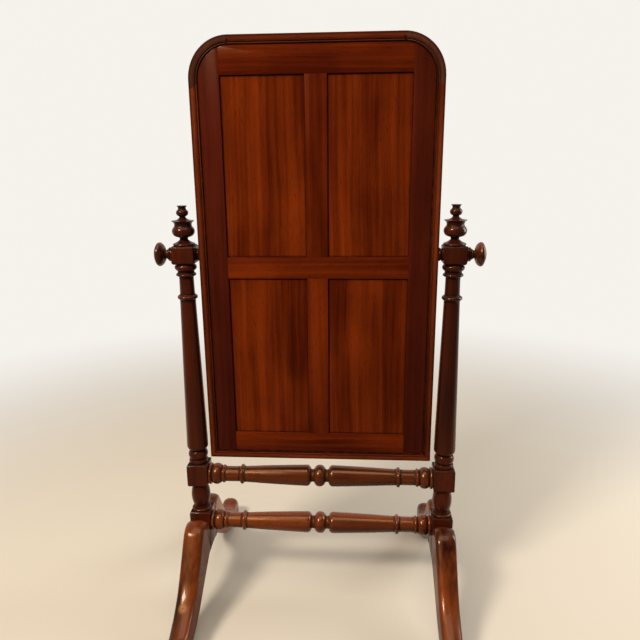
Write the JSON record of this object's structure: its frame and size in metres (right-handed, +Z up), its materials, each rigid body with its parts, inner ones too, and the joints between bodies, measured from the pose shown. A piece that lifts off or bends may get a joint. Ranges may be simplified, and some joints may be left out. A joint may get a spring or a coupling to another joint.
{
  "type": "cheval floor mirror",
  "caption": "Framed full-length mirror that tilts on clamp knobs between turned mahogany posts, with turned stretchers and scroll legs.",
  "frame": {"origin": "on the floor, under the middle of the stand", "axes": "+Z up, +X to the right of a person facing the glass, glass faces -Y, panelled back faces +Y"},
  "size_m": [0.827, 0.763, 1.484],
  "materials": {
    "silvered_glass": "silvered plate glass",
    "brass": "aged",
    "steel": "plain, threaded",
    "panel_mahogany": "polished, vertical grain",
    "frame_mahogany": "gloss polish",
    "stretcher_mahogany": "gloss polish",
    "stand_mahogany": "gloss polish, dark in the turnings",
    "pine": "unfinished"
  },
  "bodies": {
    "root": {"left_back_leg": "stand_mahogany", "left_collar": "stand_mahogany", "left_finial": "stand_mahogany", "left_front_leg": "stand_mahogany", "left_post": "stand_mahogany", "left_spacer": "stand_mahogany", "leg_dowels": "pine", "lower_stretcher": "stretcher_mahogany", "right_back_leg": "stand_mahogany", "right_collar": "stand_mahogany", "right_finial": "stand_mahogany", "right_front_leg": "stand_mahogany", "right_post": "stand_mahogany", "right_spacer": "stand_mahogany", "upper_stretcher": "stretcher_mahogany"},
    "mirror": {"back_bottom_rail": "frame_mahogany", "back_left_stile": "frame_mahogany", "back_lower_left_panel": "panel_mahogany", "back_lower_muntin": "frame_mahogany", "back_lower_right_panel": "panel_mahogany", "back_middle_rail": "frame_mahogany", "back_right_stile": "frame_mahogany", "back_top_rail": "frame_mahogany", "back_upper_left_panel": "panel_mahogany", "back_upper_muntin": "frame_mahogany", "back_upper_right_panel": "panel_mahogany", "frame_bottom_rail": "frame_mahogany", "frame_left_side": "frame_mahogany", "frame_right_side": "frame_mahogany", "frame_top_left_corner": "frame_mahogany", "frame_top_rail": "frame_mahogany", "frame_top_right_corner": "frame_mahogany", "glazing_blocks": "pine", "left_pivot_plate": "brass", "mirror_plate": "silvered_glass", "pivot_plate_screws": "brass", "right_pivot_plate": "brass"},
    "left_knob": {"left_knob": "stand_mahogany", "left_pivot_screw": "steel"},
    "right_knob": {"right_knob": "stand_mahogany", "right_pivot_screw": "steel"}
  },
  "joints": [
    {"name": "mirror_tilt", "type": "hinge", "parent": "root", "child": "mirror", "pos_m": [0, 0, 0.98], "axis": [1, 0, 0], "continuous": true},
    {"name": "left_knob_turn", "type": "hinge", "parent": "root", "child": "left_knob", "pos_m": [-0.39, 0, 0.98], "axis": [-1, 0, 0], "range_deg": [0, 360]},
    {"name": "right_knob_turn", "type": "hinge", "parent": "root", "child": "right_knob", "pos_m": [0.39, 0, 0.98], "axis": [1, 0, 0], "range_deg": [0, 360]}
  ]
}
